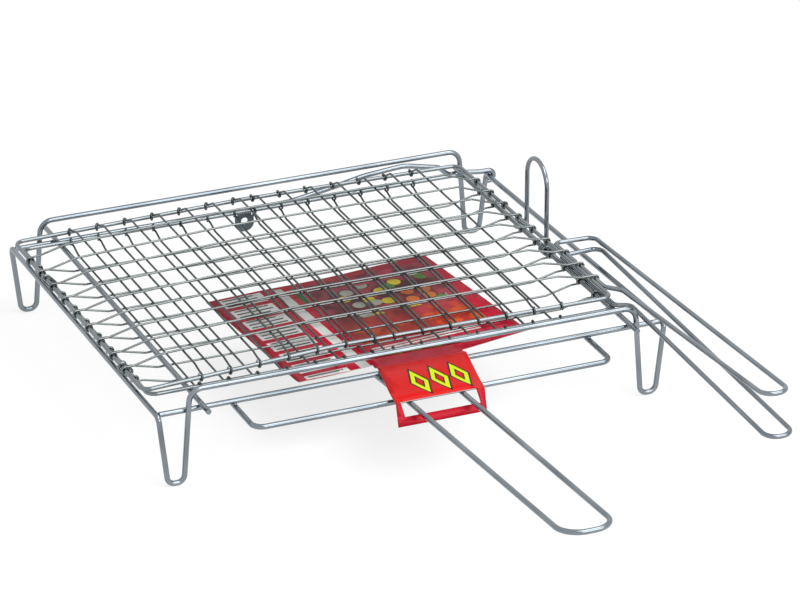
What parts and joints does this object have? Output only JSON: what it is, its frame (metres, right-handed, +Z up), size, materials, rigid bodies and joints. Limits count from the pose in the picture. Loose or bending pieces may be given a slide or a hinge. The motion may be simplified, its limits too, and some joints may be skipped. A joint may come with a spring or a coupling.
{
  "type": "wire grill basket",
  "caption": "Reversible wire grill basket: two hinged domed grids with side handles and a locking bail, resting in a four-legged wire stand with a long handle.",
  "frame": {"origin": "on the table, under the centre of the stand's footprint", "axes": "+X to the side with the bail and the two basket handles, +Y to the back, away from the long handle, +Z up"},
  "size_m": [0.4504, 0.7047, 0.1366],
  "materials": {
    "zinc_wire": "bright zinc-plated round steel wire",
    "grid_wire": "bright zinc-plated thin steel wire",
    "tab_sheet": "pressed plated sheet",
    "printed_card": "printed paperboard"
  },
  "bodies": {
    "stand": {"front_leg_frame": "zinc_wire", "rear_leg_frame": "zinc_wire", "left_side_rail": "zinc_wire", "right_side_rail": "zinc_wire", "front_lower_rod": "zinc_wire", "rear_lower_rod": "zinc_wire", "handle_bracket": "zinc_wire", "long_handle": "zinc_wire", "card": "printed_card"},
    "lower_grid": {"lower_border": "zinc_wire", "lower_long_wires": "grid_wire", "lower_cross_wires": "grid_wire", "left_cross_rod": "zinc_wire", "right_cross_rod": "zinc_wire", "hanger_tab": "tab_sheet", "lower_handle": "zinc_wire", "rear_hinge_ring": "zinc_wire", "front_hinge_ring": "zinc_wire", "side_tie": "zinc_wire", "rear_bail_ring": "zinc_wire", "front_bail_ring": "zinc_wire"},
    "upper_grid": {"upper_border": "zinc_wire", "upper_long_wires": "grid_wire", "upper_cross_wires": "grid_wire", "upper_handle": "zinc_wire"},
    "bail": {"locking_bail": "zinc_wire"}
  },
  "joints": [
    {"name": "basket_slide", "type": "slide", "parent": "stand", "child": "lower_grid", "axis": [0, 1, 0], "range_m": [-0.003, 0.011]},
    {"name": "grid_hinge", "type": "hinge", "parent": "lower_grid", "child": "upper_grid", "pos_m": [-0.2215, 0, 0.076], "axis": [0, -1, 0], "range_deg": [0, 175]},
    {"name": "bail_hinge", "type": "hinge", "parent": "lower_grid", "child": "bail", "pos_m": [0.19055, 0.0135, 0.0661], "axis": [0, 1, 0], "range_deg": [-15, 90]}
  ]
}
